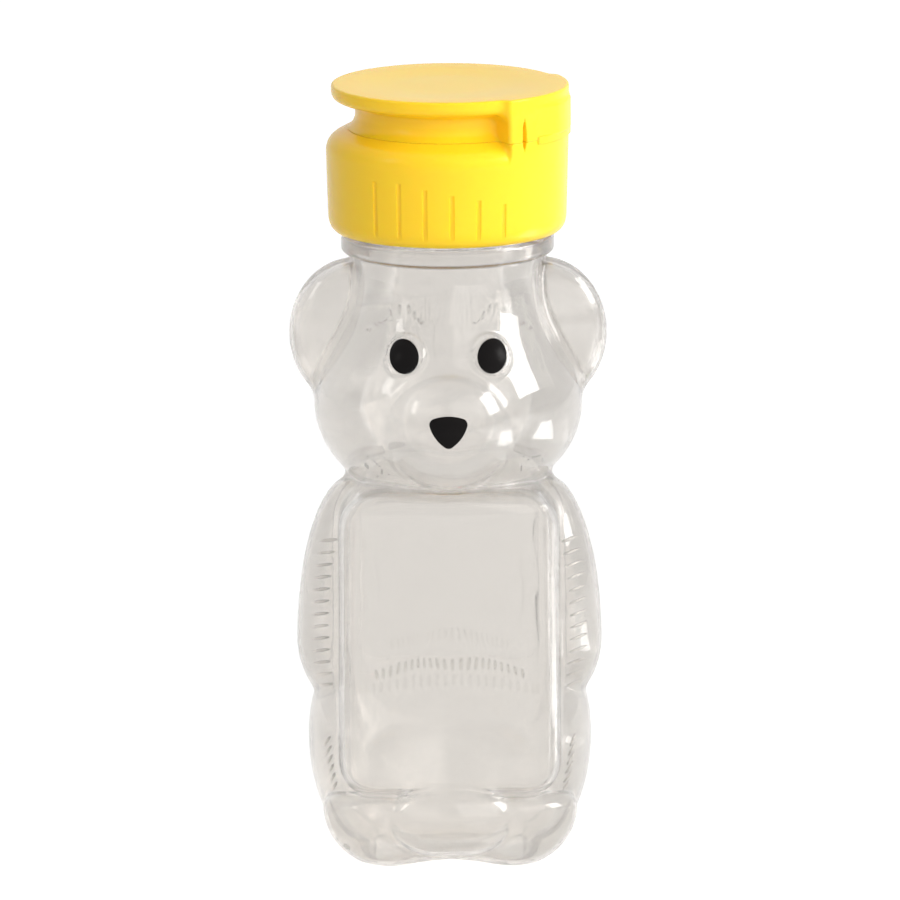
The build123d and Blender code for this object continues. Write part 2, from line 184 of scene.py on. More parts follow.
def rounded_rectangle(u, v, half_u, half_v, corner):
    """A flat rectangle with round corners, endless across its plane."""
    du = np.abs(u) - half_u + corner
    dv = np.abs(v) - half_v + corner
    return np.hypot(np.maximum(du, 0), np.maximum(dv, 0)) + np.minimum(np.maximum(du, dv), 0) - corner


def join(a, b, soft):
    """Both forms together, with a fillet."""
    share = np.clip(0.5 + (b - a) / (2 * soft), 0, 1)
    return b + (a - b) * share - soft * share * (1 - share)


def meet(a, b, soft):
    """What lies in both forms, with its edge rounded."""
    return -join(-a, -b, soft)


def fade(value, low, high):
    """A smooth rise from 0 at low to 1 at high."""
    share = np.clip((value - low) / (high - low), 0, 1)
    return share * share * (3 - 2 * share)


def head_outline(s):
    """Heights and radii of the head above the cheeks, up to the neck."""
    neck_base = mm(103.6)
    places, widths = np.array([
        (0.0, 1.0), (0.29, 0.80), (0.48, 0.50), (0.66, 0.22), (0.84, 0.05), (1.0, 0.0)]).T
    # A smooth curve through those points, upright at both ends
    slopes = np.gradient(widths, places)
    slopes[0] = slopes[-1] = 0
    at = np.linspace(0, 1, 121)
    index = np.clip(np.searchsorted(places, at, side="right") - 1, 0, len(places) - 2)
    span = places[index + 1] - places[index]
    t = (at - places[index]) / span
    values = ((1 + 2 * t) * (1 - t) ** 2 * widths[index] + t * (1 - t) ** 2 * span * slopes[index]
              + t * t * (3 - 2 * t) * widths[index + 1] + t * t * (t - 1) * span * slopes[index + 1])
    heights = s.cheek_height + at * (neck_base - s.cheek_height)
    return heights, s.neck_radius + values * (s.head_radius - s.neck_radius)


def head_field(p, s):
    """The round head, narrowing to the neck, which goes on up without end."""
    radius = np.hypot(p[0], p[1])
    heights, radii = head_outline(s)
    slopes = np.gradient(radii, heights)
    upper = (radius - np.interp(p[2], heights, radii)) / np.sqrt(1 + np.interp(p[2], heights, slopes) ** 2)
    lower = egg_field(p, (0, 0, s.cheek_height), (s.head_radius, s.head_radius, s.chin_drop))
    return np.where(p[2] > s.cheek_height, upper, lower)


def eye_boss_field(p):
    """The raised oval that an eye is printed on, square to the head, with a thin rim round it."""
    rim_rise, rim_share = mm(0.32), 0.12
    turn = Matrix.Rotation(math.radians(22.8), 3, "Z") @ Matrix.Rotation(math.radians(-27.7), 3, "X")
    local = np.array(turn.transposed()) @ np.stack([p[0] - mm(7.65), p[1] + mm(18.2), p[2] - mm(91.7)])
    boss = egg_field(local, (0, mm(2.2), 0), (mm(4.4), mm(3.4), mm(4.8)))
    spread = np.sqrt((local[0] / mm(3.45)) ** 2 + (local[2] / mm(3.75)) ** 2)
    rim = rim_rise * np.exp(-((spread - 1) / rim_share) ** 2) * (local[1] < mm(2.2))
    return boss, rim


def torso_field(p, s):
    """A rounded box with bowed faces at the front and back."""
    half_x, half_y = s.torso_half
    low, high, bow_depth, spare = mm(13.6), mm(68.2), mm(1.6), mm(0.2)
    plan_corner, heel_softness = mm(4.4), mm(9.0)
    front_top, front_low, side_top, side_low, side_softness = mm(8.5), mm(7.0), mm(5.0), mm(3.2), mm(8.0)
    middle, half_z = (low + high) / 2, (high - low) / 2
    bow = bow_depth * (1 - np.clip(p[0] / half_x, -1, 1) ** 2)
    depth = np.sign(p[1]) * np.maximum(np.abs(p[1]) - bow, 0)
    up = p[2] - middle
    # The corners are rounder low on the back
    low_back = fade(p[1], 0, mm(8.0)) * (1 - fade(p[2], mm(16.0), mm(29.0)))
    plan = rounded_rectangle(p[0], depth, half_x, half_y, plan_corner + heel_softness * low_back)
    front = rounded_rectangle(p[0], up, half_x + spare, half_z, np.where(up > 0, front_top, front_low))
    side = rounded_rectangle(depth, up, half_y + spare, half_z,
                             np.where(up > 0, side_top, side_low + side_softness * low_back))
    return meet(meet(plan, front, mm(1.2)), side, mm(1.2))


def back_panel(p):
    """How far the label panel on the back stands out."""
    middle, half_width, half_height, corner, rise = mm(45.5), mm(15.5), mm(15.0), mm(3.4), mm(0.5)
    outline = rounded_rectangle(p[0], p[2] - middle, half_width, half_height, corner)
    return rise * (1 - fade(outline, mm(-0.5), mm(0.4))) * fade(p[1], mm(6.0), mm(12.0))


def bear_field(p, s):
    """The whole bear, with its neck going on up, before its wall is taken."""
    right = np.stack([np.abs(p[0]), p[1], p[2]])
    arm = egg_field(right, *ARM)
    leg = egg_field(right, *LEG)
    foot = egg_field(right, *FOOT)
    web = egg_field(p, *WEB)
    seat = egg_field(p, *SEAT)
    belly = egg_field(p, *BELLY)
    base_half_width, base_half_depth, base_corner, base_top = mm(14.8), mm(12.6), mm(6.0), mm(6.5)
    plan = rounded_rectangle(p[0], p[1], base_half_width, base_half_depth, base_corner)
    base = meet(plan, p[2] - base_top, mm(2.0))
    ear = egg_field(right, EAR_CENTRE, s.ear_half)
    muzzle = egg_field(p, MUZZLE_CENTRE, s.muzzle_half)
    behind = fade(p[1], mm(-6.0), mm(6.0))
    form = join(torso_field(p, s) - back_panel(p), arm, mm(1.2))
    form = join(form, leg, mm(1.4))
    lower = join(join(join(join(foot, web, mm(2.5)), seat, mm(1.6)), base, mm(2.0)), belly, mm(0.5))
    form = join(form, lower, mm(0.9) + mm(3.6) * behind)
    head = join(join(head_field(p, s), ear, mm(1.6)), muzzle, mm(0.5))
    boss, rim = eye_boss_field(right)
    head = join(head, boss, mm(0.3)) - rim
    form = join(form, head, mm(1.0) + mm(4.5) * behind)
    form = meet(form, -p[2], mm(1.6))
    return meet(form, -arch_field(p), mm(1.6))


def arch_field(p):
    """The hollow under the bottle between its feet, which fades out before the middle."""
    half_width, height, front, end = mm(7.0), mm(1.3), mm(12.0), mm(3.0)
    radius = (half_width ** 2 + height ** 2) / (2 * height)
    slope = math.atan2(height, front - end)
    up = p[2] * math.cos(slope) + (p[1] + end) * math.sin(slope)
    return np.hypot(p[0], up + radius) - radius


def neck_thread(p):
    """How far the helical thread stands out from the neck finish."""
    start, half_width, flank, height, run_out = mm(116.2), mm(1.0), mm(0.6), mm(1.25), 0.06
    around = np.arctan2(p[1], p[0]) / (2 * math.pi) % 1.0
    turn = np.round((p[2] - start) / THREAD_PITCH - around)
    travel = around + np.clip(turn, 0, 1)
    ridge = np.clip((half_width - np.abs(p[2] - start - THREAD_PITCH * travel)) / flank, 0, 1)
    ends = fade(travel, 0, run_out) * (1 - fade(travel, THREAD_TURNS - run_out, THREAD_TURNS))
    return height * ridge * ends


def bottle_field(p, s):
    """The clear bottle: outer wall, neck finish and the hollow inside."""
    radius = np.hypot(p[0], p[1])
    top = BODY_HIGH.z
    ring_z, ring_radius, ring_half_height, ring_corner = mm(108.7), mm(18.6), mm(1.6), mm(0.8)
    finish_radius, finish_low = mm(17.4), mm(109.0)
    body = bear_field(p, s)
    ring = rounded_rectangle(radius, p[2] - ring_z, ring_radius, ring_half_height, ring_corner)
    finish = meet(radius - finish_radius - neck_thread(p), finish_low - p[2], mm(0.4))
    outer = meet(join(join(body, ring, mm(0.9)), finish, mm(0.6)), p[2] - top, mm(0.6))
    # Slow waves in the inside of the wall, as blowing leaves them
    ripple = (np.sin(p[0] / mm(2.1) + 1.3 * np.sin(p[2] / mm(5.3)))
              * np.sin(p[2] / mm(3.1) + 1.1 * np.sin(p[1] / mm(4.7))))
    heights = [mm(97.0), mm(103.6), mm(107.1), mm(110.3)]
    thickness = np.interp(p[2], heights, [s.wall, mm(1.4), mm(1.4), mm(0.8)])
    inner = body + thickness + mm(0.05) * ripple
    return meet(outer, -inner, mm(0.3))


def sample(form, low, high, step):
    """The field on a grid: every fourth point first, and then all points near the surface."""
    coarse = 4
    counts = [coarse * math.ceil((high[i] - low[i]) / step / coarse) + 1 for i in range(3)]
    axes = [low[i] + step * np.arange(counts[i]) for i in range(3)]
    wide = [places[::coarse] for places in axes]
    values = form(np.stack([g.ravel() for g in np.meshgrid(*wide, indexing="ij")]))
    values = values.reshape([len(places) for places in wide])
    for axis in range(3):
        first = np.take(values, range(values.shape[axis] - 1), axis)
        second = np.take(values, range(1, values.shape[axis]), axis)
        steps = [first + (second - first) * k / coarse for k in range(coarse)]
        shape = list(values.shape)
        shape[axis] = coarse * (shape[axis] - 1)
        between = np.stack(steps, axis + 1).reshape(shape)
        last = np.take(values, [values.shape[axis] - 1], axis)
        values = np.concatenate([between, last], axis)
    near = np.nonzero(np.abs(values) < coarse * step)
    values[near] = form(np.stack([axes[i][near[i]] for i in range(3)]))
    return values


def surface_net(values, low, step):
    """Points and four-sided faces of the surface where the field is zero."""
    inside = values < 0
    corners = [(i, j, k) for i in (0, 1) for j in (0, 1) for k in (0, 1)]
    cells = [n - 1 for n in values.shape]
    count = sum(inside[i:i + cells[0], j:j + cells[1], k:k + cells[2]].astype(np.uint8)
                for i, j, k in corners)
    active = np.nonzero((count > 0) & (count < 8))
    number = np.full(cells, -1, np.int64)
    number[active] = np.arange(len(active[0]))
    total = np.zeros((len(active[0]), 3))
    hits = np.zeros(len(active[0]))
    for axis in range(3):
        for corner in corners:
            if corner[axis]:
                continue
            start = [active[i] + corner[i] for i in range(3)]
            end = [start[i] + (i == axis) for i in range(3)]
            a, b = values[tuple(start)], values[tuple(end)]
            crossed = (a < 0) != (b < 0)
            place = np.stack(start, 1).astype(float)
            place[:, axis] += np.where(crossed, a / np.where(crossed, a - b, 1), 0)
            total[crossed] += place[crossed]
            hits += crossed
    points = np.array(low) + step * total / hits[:, None]
    faces = []
    for axis in range(3):
        u, v = (axis + 1) % 3, (axis + 2) % 3
        inner = [slice(1, -1)] * 3
        inner[axis] = slice(0, -1)
        ahead = list(inner)
        ahead[axis] = slice(1, None)
        solid = inside[tuple(inner)]
        edge = np.nonzero(solid != inside[tuple(ahead)])
        outward = solid[edge]
        ring = []
        for du, dv in ((0, 0), (1, 0), (1, 1), (0, 1)):
            cell = list(edge)
            cell[u] = cell[u] + du
            cell[v] = cell[v] + dv
            ring.append(number[tuple(cell)])
        quads = np.stack(ring, 1)
        quads[~outward] = quads[~outward][:, ::-1]
        faces.append(quads)
    return points, np.concatenate(faces)


def gradient(form, points):
    """The field at some points, and the way that it rises."""
    reach = mm(0.01)
    rows = points.T
    value = form(rows)
    rise = []
    for axis in range(3):
        shift = np.zeros((3, 1))
        shift[axis] = reach
        rise.append((form(rows + shift) - value) / reach)
    return value, np.stack(rise, 1)


def settle(form, points, step):
    """Moves points onto the surface, and gives them and the way it faces there."""
    value, rise = gradient(form, points)
    steep = np.linalg.norm(rise, axis=1, keepdims=True)
    flattest, longest = 0.2, 0.6 * step
    move = -value[:, None] * rise / np.maximum(steep ** 2, flattest)
    length = np.linalg.norm(move, axis=1, keepdims=True)
    move = move * np.minimum(1, longest / np.maximum(length, TINY))
    return points + move, rise / np.maximum(steep, TINY)


def read_points(mesh):
    """The places of a mesh's points, one row each."""
    flat = np.empty(3 * len(mesh.vertices))
    mesh.vertices.foreach_get("co", flat)
    return flat.reshape(-1, 3)


def coat(mesh, material):
    """Gives a mesh one material."""
    mesh.materials.clear()
    mesh.materials.append(material)


def finish_mesh(name, mesh, material):
    """An object for a mesh, with smooth faces and one material."""
    coat(mesh, material)
    mesh.shade_smooth()
    piece = bpy.data.objects.new(name, mesh)
    bpy.context.scene.collection.objects.link(piece)
    return piece


def applied(piece):
    """The piece's shape with its modifiers, as a plain mesh in its place."""
    graph = bpy.context.evaluated_depsgraph_get()
    mesh = bpy.data.meshes.new_from_object(piece.evaluated_get(graph))
    piece.modifiers.clear()
    old = piece.data
    piece.data = mesh
    bpy.data.meshes.remove(old)
    return piece


def field_piece(name, form, low, high, step, material, most=190000):
    """A closed mesh of a field, thinned where it is flat, with the field's own normals."""
    values = sample(form, low, high, step)
    points, faces = surface_net(values, low, step)
    mesh = bpy.data.meshes.new(name)
    mesh.from_pydata(points.tolist(), [], faces.tolist())
    piece = finish_mesh(name, mesh, material)
    if 2 * len(faces) > most:
        thin = piece.modifiers.new("Thin", "DECIMATE")
        thin.ratio = most / (2 * len(faces))
        applied(piece)
    points, _ = settle(form, read_points(piece.data), step)
    points, normals = settle(form, points, step)
    piece.data.vertices.foreach_set("co", points.ravel())
    piece.data.shade_smooth()
    piece.data.normals_split_custom_set_from_vertices(normals.tolist())
    piece.data.update()
    return piece


def face_cuts(piece, form):
    """Gives the faces of new cuts their own flat normals, and the rest those of the field."""
    mesh = piece.data
    value, rise = gradient(form, read_points(mesh))
    normals = rise / np.maximum(np.linalg.norm(rise, axis=1, keepdims=True), TINY)
    corners = np.empty(len(mesh.loops), np.int64)
    mesh.loops.foreach_get("vertex_index", corners)
    flat = np.repeat([tuple(face.normal) for face in mesh.polygons],
                     [face.loop_total for face in mesh.polygons], axis=0)
    own = normals[corners]
    off_field, turned = mm(0.03), 0.7
    cut = (np.abs(value[corners]) > off_field) | ((own * flat).sum(1) < turned)
    mesh.normals_split_custom_set(np.where(cut[:, None], flat, own).tolist())


def add_node(tree, kind, inputs=None, **settings):
    """Adds a node with its settings and its inputs. A node among them is linked by its first output."""
    node = tree.nodes.new(kind)
    for key, value in settings.items():
        setattr(node, key, value)
    for key, value in (inputs or {}).items():
        if isinstance(value, bpy.types.Node):
            value = value.outputs[0]
        if isinstance(value, bpy.types.NodeSocket):
            tree.links.new(value, node.inputs[key])
        else:
            node.inputs[key].default_value = value
    return node


def new_material(name):
    """An empty material and its node tree."""
    material = bpy.data.materials.new(name)
    material.use_nodes = True
    material.node_tree.nodes.clear()
    return material, material.node_tree


def new_tree(name, sockets):
    """A Geometry Nodes tree with its named inputs, and the node that gives them."""
    tree = bpy.data.node_groups.new(name, "GeometryNodeTree")
    for label, kind in sockets.items():
        tree.interface.new_socket(name=label, in_out="INPUT", socket_type="NodeSocket" + kind)
    tree.interface.new_socket(name="Geometry", in_out="OUTPUT", socket_type="NodeSocketGeometry")
    return tree, tree.nodes.new("NodeGroupInput").outputs


def end_tree(tree, geometry, material):
    """Ends a tree in real geometry with its material."""
    real = add_node(tree, "GeometryNodeRealizeInstances", {"Geometry": geometry})
    done = add_node(tree, "GeometryNodeSetMaterial", {"Geometry": real.outputs["Geometry"],
                                                      "Material": material})
    add_node(tree, "NodeGroupOutput", {"Geometry": done.outputs["Geometry"]})


def grown(piece, tree, values):
    """Runs a tree on a piece with the values of its inputs, and keeps the result as a plain mesh."""
    modifier = piece.modifiers.new(tree.name, "NODES")
    modifier.node_group = tree
    for item in tree.interface.items_tree:
        if item.in_out == "INPUT" and item.name in values:
            modifier[item.identifier] = values[item.name]
    return applied(piece)


def plain_piece(name):
    """An empty mesh object for a tree to fill."""
    piece = bpy.data.objects.new(name, bpy.data.meshes.new(name))
    bpy.context.scene.collection.objects.link(piece)
    return piece


def fur_tree():
    """Strands of fur in a row along a curve, each dropped onto the bottle's surface."""
    tree, given = new_tree("fur_row", {
        "Bottle": "Object", "Start": "Vector", "Middle": "Vector", "End": "Vector", "Count": "Int",
        "Toward": "Vector", "Across": "Vector", "Length": "Float", "Width": "Float", "Rise": "Float",
        "Lean": "Float", "Material": "Material"})
    path = add_node(tree, "GeometryNodeCurveQuadraticBezier", {
        "Resolution": 32, "Start": given["Start"], "Middle": given["Middle"], "End": given["End"]})
    spots = add_node(tree, "GeometryNodeCurveToPoints", {"Curve": path.outputs[0], "Count": given["Count"]},
                     mode="COUNT")
    bottle = add_node(tree, "GeometryNodeObjectInfo", {"Object": given["Bottle"]})
    hit = add_node(tree, "GeometryNodeRaycast", {"Target Geometry": bottle.outputs["Geometry"],
                                                 "Ray Direction": given["Toward"], "Ray Length": 0.1})
    upright = add_node(tree, "FunctionNodeAlignRotationToVector", {"Vector": hit.outputs["Hit Normal"]},
                       axis="Z")
    along = add_node(tree, "FunctionNodeAlignRotationToVector", {
        "Rotation": upright.outputs[0], "Vector": given["Across"]}, axis="X", pivot_axis="Z")
    lean = add_node(tree, "FunctionNodeAxisAngleToRotation", {"Axis": (0, 0, 1), "Angle": given["Lean"]})
    turned = add_node(tree, "FunctionNodeRotateRotation", {"Rotation": along.outputs[0],
                                                           "Rotate By": lean.outputs[0]},
                      rotation_space="LOCAL")
    half_width = add_node(tree, "ShaderNodeMath", {0: given["Width"], 1: 0.5}, operation="MULTIPLY")
    half_length = add_node(tree, "ShaderNodeMath", {0: given["Length"], 1: 0.5}, operation="MULTIPLY")
    halves = add_node(tree, "ShaderNodeCombineXYZ", {"X": half_width, "Y": half_length, "Z": given["Rise"]})
    strand = add_node(tree, "GeometryNodeMeshUVSphere", {"Segments": 10, "Rings": 6, "Radius": 1.0})
    smooth = add_node(tree, "GeometryNodeSetShadeSmooth", {"Geometry": strand.outputs["Mesh"]})
    placed = add_node(tree, "GeometryNodeInstanceOnPoints", {
        "Points": spots.outputs["Points"], "Instance": smooth.outputs["Geometry"],
        "Rotation": turned.outputs[0], "Scale": halves.outputs[0]})
    moved = add_node(tree, "GeometryNodeSetPosition", {
        "Geometry": placed.outputs["Instances"], "Selection": hit.outputs["Is Hit"],
        "Position": hit.outputs["Hit Position"]})
    end_tree(tree, moved.outputs["Geometry"], given["Material"])
    return tree


def groove_tree():
    """Grip grooves cut into the skirt, in two groups beside the hinge, with tops that step down."""
    tree, given = new_tree("grip_grooves", {
        "Skirt": "Geometry", "Count": "Int", "Pitch": "Float", "Width": "Float", "Depth": "Float",
        "Radius": "Float", "Draft": "Float", "Top": "Float", "Bottom": "Float", "Step": "Float",
        "First": "Float", "Bearing": "Float", "Material": "Material"})
    both_sides = add_node(tree, "ShaderNodeMath", {0: given["Count"], 1: 2.0}, operation="MULTIPLY")
    points = add_node(tree, "GeometryNodePoints", {"Count": both_sides})
    index = add_node(tree, "GeometryNodeInputIndex")
    place = add_node(tree, "ShaderNodeMath", {0: index, 1: given["Count"]}, operation="MODULO")
    # One group has a side of 1 and the other of -1
    first_group = add_node(tree, "ShaderNodeMath", {0: index, 1: given["Count"]}, operation="LESS_THAN")
    side = add_node(tree, "ShaderNodeMath", {0: first_group, 1: 2.0, 2: -1.0}, operation="MULTIPLY_ADD")
    lean = add_node(tree, "ShaderNodeMath", {0: place, 1: given["Pitch"], 2: given["First"]},
                    operation="MULTIPLY_ADD")
    angle = add_node(tree, "ShaderNodeMath", {0: side, 1: lean, 2: given["Bearing"]},
                     operation="MULTIPLY_ADD")
    # The last two grooves of a group are full height, and each one before them is a step lower
    most_steps = add_node(tree, "ShaderNodeMath", {0: given["Count"], 1: 2.0}, operation="SUBTRACT")
    steps_left = add_node(tree, "ShaderNodeMath", {0: most_steps, 1: place}, operation="SUBTRACT")
    steps = add_node(tree, "ShaderNodeMath", {0: steps_left, 1: 0.0}, operation="MAXIMUM")
    drop = add_node(tree, "ShaderNodeMath", {0: steps, 1: given["Step"]}, operation="MULTIPLY")
    top = add_node(tree, "ShaderNodeMath", {0: given["Top"], 1: drop}, operation="SUBTRACT")
    height = add_node(tree, "ShaderNodeMath", {0: top, 1: given["Bottom"]}, operation="SUBTRACT")
    ends = add_node(tree, "ShaderNodeMath", {0: top, 1: given["Bottom"]}, operation="ADD")
    level = add_node(tree, "ShaderNodeMath", {0: ends, 1: 0.5}, operation="MULTIPLY")
    # The skirt grows wider as it rises
    rise = add_node(tree, "ShaderNodeMath", {0: level, 1: given["Bottom"]}, operation="SUBTRACT")
    reach = add_node(tree, "ShaderNodeMath", {0: rise, 1: given["Draft"], 2: given["Radius"]},
                     operation="MULTIPLY_ADD")
    cosine = add_node(tree, "ShaderNodeMath", {0: angle}, operation="COSINE")
    sine = add_node(tree, "ShaderNodeMath", {0: angle}, operation="SINE")
    x = add_node(tree, "ShaderNodeMath", {0: reach, 1: cosine}, operation="MULTIPLY")
    y = add_node(tree, "ShaderNodeMath", {0: reach, 1: sine}, operation="MULTIPLY")
    spot = add_node(tree, "ShaderNodeCombineXYZ", {"X": x, "Y": y, "Z": level})
    moved = add_node(tree, "GeometryNodeSetPosition", {"Geometry": points.outputs[0],
                                                       "Position": spot.outputs[0]})
    turn = add_node(tree, "ShaderNodeCombineXYZ", {"X": 0.0, "Y": given["Draft"], "Z": angle})
    half_width = add_node(tree, "ShaderNodeMath", {0: given["Width"], 1: 0.5}, operation="MULTIPLY")
    size = add_node(tree, "ShaderNodeCombineXYZ", {"X": given["Depth"], "Y": half_width, "Z": height})
    cutter = add_node(tree, "GeometryNodeMeshCylinder", {"Vertices": 16, "Radius": 1.0, "Depth": 1.0})
    placed = add_node(tree, "GeometryNodeInstanceOnPoints", {
        "Points": moved.outputs["Geometry"], "Instance": cutter.outputs["Mesh"],
        "Rotation": turn.outputs[0], "Scale": size.outputs[0]})
    real = add_node(tree, "GeometryNodeRealizeInstances", {"Geometry": placed.outputs["Instances"]})
    cut = add_node(tree, "GeometryNodeMeshBoolean", {"Mesh 1": given["Skirt"],
                                                     "Mesh 2": real.outputs["Geometry"]},
                   operation="DIFFERENCE", solver="MANIFOLD")
    end_tree(tree, cut.outputs["Mesh"], given["Material"])
    return tree


def thread_tree():
    """One helical ridge, swept along the inside of the skirt."""
    tree, given = new_tree("closure_thread", {
        "Radius": "Float", "Pitch": "Float", "Turns": "Float", "Start": "Float", "Root width": "Float",
        "Crest width": "Float", "Height": "Float", "Material": "Material"})
    rise = add_node(tree, "ShaderNodeMath", {0: given["Pitch"], 1: given["Turns"]}, operation="MULTIPLY")
    helix = add_node(tree, "GeometryNodeCurveSpiral", {
        "Resolution": 64, "Rotations": given["Turns"], "Start Radius": given["Radius"],
        "End Radius": given["Radius"], "Height": rise, "Reverse": True})
    level = add_node(tree, "GeometryNodeSetCurveNormal", {"Curve": helix.outputs[0]}, mode="Z_UP")
    profile = add_node(tree, "GeometryNodeCurvePrimitiveQuadrilateral", {
        "Height": given["Height"], "Bottom Width": given["Root width"], "Top Width": given["Crest width"],
        "Offset": 0.0}, mode="TRAPEZOID")
    upright = add_node(tree, "GeometryNodeTransform", {"Geometry": profile.outputs[0],
                                                       "Rotation": (0, 0, -math.pi / 2)})
    ridge = add_node(tree, "GeometryNodeCurveToMesh", {
        "Curve": level.outputs[0], "Profile Curve": upright.outputs[0], "Fill Caps": True})
    lift = add_node(tree, "ShaderNodeCombineXYZ", {"Z": given["Start"]})
    placed = add_node(tree, "GeometryNodeTransform", {"Geometry": ridge.outputs[0],
                                                      "Translation": lift.outputs[0]})
    end_tree(tree, placed.outputs["Geometry"], given["Material"])
    return tree


def blown_pet(s):
    """Blow-moulded clear PET: glass-clear, glossy, with faint ripples from the blowing."""
    material, tree = new_material("blown_clear_pet")
    place = add_node(tree, "ShaderNodeTexCoord").outputs["Object"]
    drift = add_node(tree, "ShaderNodeTexNoise", {"Vector": place, "Scale": 1 / mm(9.0), "Detail": 2.0})
    bump = add_node(tree, "ShaderNodeBump", {"Height": drift.outputs["Fac"], "Strength": 0.25,
                                             "Distance": mm(0.08)})
    body = add_node(tree, "ShaderNodeBsdfPrincipled", {
        "Base Color": tuple(s.tint), "Roughness": 0.04, "IOR": 1.57, "Transmission Weight": 1.0,
        "Alpha": 0.8, "Normal": bump.outputs["Normal"]})
    clear = add_node(tree, "ShaderNodeBsdfTransparent", {"Color": (0.93, 0.925, 0.92, 1)})
    path = add_node(tree, "ShaderNodeLightPath")
    mixed = add_node(tree, "ShaderNodeMixShader", {0: path.outputs["Is Shadow Ray"],
                                                   1: body.outputs["BSDF"], 2: clear.outputs["BSDF"]})
    smoke = add_node(tree, "ShaderNodeVolumeAbsorption", {"Color": linear("#b9b2ab"), "Density": 45.0})
    add_node(tree, "ShaderNodeOutputMaterial", {"Surface": mixed.outputs["Shader"],
                                                "Volume": smoke.outputs["Volume"]})
    return material


def printed_ink(s):
    """Pad-printed black ink: dense, smooth and slightly glossy."""
    material, tree = new_material("pad_printed_ink")
    place = add_node(tree, "ShaderNodeTexCoord").outputs["Object"]
    # The real grain is finer: this is as coarse as it needs to be to show
    grain = add_node(tree, "ShaderNodeTexNoise", {"Vector": place, "Scale": 1 / mm(0.5), "Detail": 3.0})
    bump = add_node(tree, "ShaderNodeBump", {"Height": grain.outputs["Fac"], "Strength": 0.15,
                                             "Distance": mm(0.03)})
    rough = add_node(tree, "ShaderNodeMapRange", {"Value": grain.outputs["Fac"], "To Min": 0.26,
                                                  "To Max": 0.36})
    body = add_node(tree, "ShaderNodeBsdfPrincipled", {
        "Base Color": tuple(s.ink), "Roughness": rough.outputs["Result"], "Specular IOR Level": 0.08,
        "Normal": bump.outputs["Normal"]})
    add_node(tree, "ShaderNodeOutputMaterial", {"Surface": body.outputs["BSDF"]})
    return material


def moulded_polypropylene(s):
    """Injection-moulded yellow polypropylene: satin, a little translucent, finely eroded tool marks."""
    material, tree = new_material("moulded_yellow_polypropylene")
    place = add_node(tree, "ShaderNodeTexCoord").outputs["Object"]
    # The real marks of the eroded tool are finer: these are as coarse as they need to be to show
    eroded = add_node(tree, "ShaderNodeTexNoise", {"Vector": place, "Scale": 1 / mm(0.35), "Detail": 2.0})
    flow = add_node(tree, "ShaderNodeTexNoise", {"Vector": place, "Scale": 1 / mm(14.0), "Detail": 1.0})
    bump = add_node(tree, "ShaderNodeBump", {"Height": eroded.outputs["Fac"], "Strength": 0.12,
                                             "Distance": mm(0.04)})
    rough = add_node(tree, "ShaderNodeMapRange", {"Value": flow.outputs["Fac"], "To Min": 0.22,
                                                  "To Max": 0.28})
    body = add_node(tree, "ShaderNodeBsdfPrincipled", {
        "Base Color": tuple(s.colour), "Roughness": rough.outputs["Result"], "IOR": 1.49,
        "Specular IOR Level": 0.3, "Subsurface Weight": 0.35, "Subsurface Radius": (1.0, 0.45, 0.08),
        "Subsurface Scale": mm(2.0), "Normal": bump.outputs["Normal"]})
    add_node(tree, "ShaderNodeOutputMaterial", {"Surface": body.outputs["BSDF"]})
    return material


def liner_foam(s):
    """Foamed polyethylene liner: matte white with fine cells."""
    material, tree = new_material("foamed_liner")
    place = add_node(tree, "ShaderNodeTexCoord").outputs["Object"]
    # The real cells are finer: these are as coarse as they need to be to show
    cells = add_node(tree, "ShaderNodeTexVoronoi", {"Vector": place, "Scale": 1 / mm(0.6)})
    bump = add_node(tree, "ShaderNodeBump", {"Height": cells.outputs["Distance"], "Strength": 0.3,
                                             "Distance": mm(0.1)})
    body = add_node(tree, "ShaderNodeBsdfPrincipled", {
        "Base Color": tuple(s.liner_colour), "Roughness": 0.8, "Normal": bump.outputs["Normal"]})
    add_node(tree, "ShaderNodeOutputMaterial", {"Surface": body.outputs["BSDF"]})
    return material


def hinge_angle(p):
    """The angle of points round the neck axis, from the middle of the hinge."""
    across = p[1] * math.cos(HINGE_BEARING) - p[0] * math.sin(HINGE_BEARING)
    along = p[0] * math.cos(HINGE_BEARING) + p[1] * math.sin(HINGE_BEARING)
    return np.arctan2(across, along)


def block_side(p):
    """How far points lie past the sides of the hinge block, which run towards the axis."""
    return (np.abs(hinge_angle(p)) - math.radians(41.7)) * np.maximum(np.hypot(p[0], p[1]), mm(8.0))


def slit_field(p):
    """The two pointed slits beside the hinge pad, cut into the outside."""
    radius = np.hypot(p[0], p[1])
    middle, half_height, half_width, floor = mm(130.15), mm(2.95), mm(0.42), mm(20.2)
    arc = (np.abs(hinge_angle(p)) - math.radians(33.0)) * radius
    up = (p[2] - middle) / half_height
    width = half_width * np.clip(1 - up ** 2, -5, 1)
    return np.maximum(np.abs(arc) - width, floor - radius)


